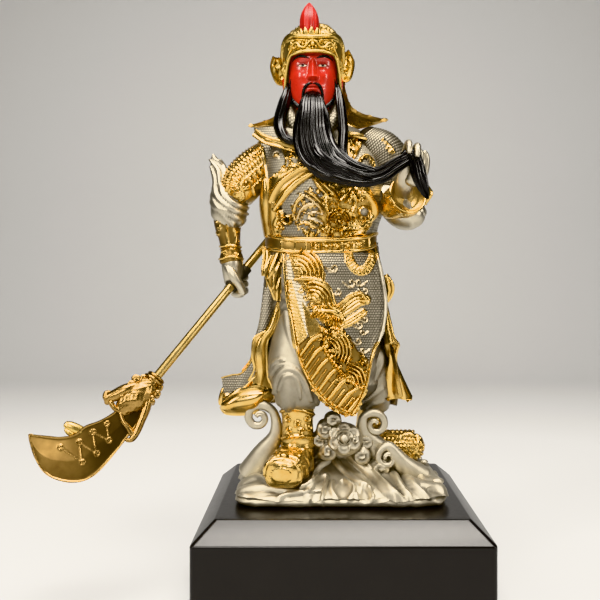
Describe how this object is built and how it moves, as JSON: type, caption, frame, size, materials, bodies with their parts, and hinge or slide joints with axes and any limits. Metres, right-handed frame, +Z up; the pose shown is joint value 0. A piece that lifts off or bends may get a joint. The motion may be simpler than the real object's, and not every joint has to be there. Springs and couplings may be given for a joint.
{
  "type": "warrior deity statue",
  "caption": "Bearded armoured general in gilt pewter, stroking a long beard and holding a crescent-bladed halberd, on a wave base and a black chamfered plinth.",
  "frame": {"origin": "centre of the plinth's underside", "axes": "+Z up to the helmet's tassel, the figure faces -Y, +X is on the viewer's right as it faces the viewer"},
  "size_m": [0.258, 0.148, 0.364],
  "materials": {
    "lacquered_wood": "satin black lacquer on wood",
    "baize": "red baize",
    "pewter": "satin cast pewter with dark recesses",
    "brass_pole": "polished brass",
    "gilt": "polished gold plate",
    "red_enamel": "glossy red enamel",
    "black_enamel": "glossy black enamel"
  },
  "bodies": {
    "root": {"plinth": "lacquered_wood", "base_pad": "baize", "figure": "pewter", "halberd_pole": "brass_pole", "halberd_blade": "gilt"}
  },
  "joints": []
}
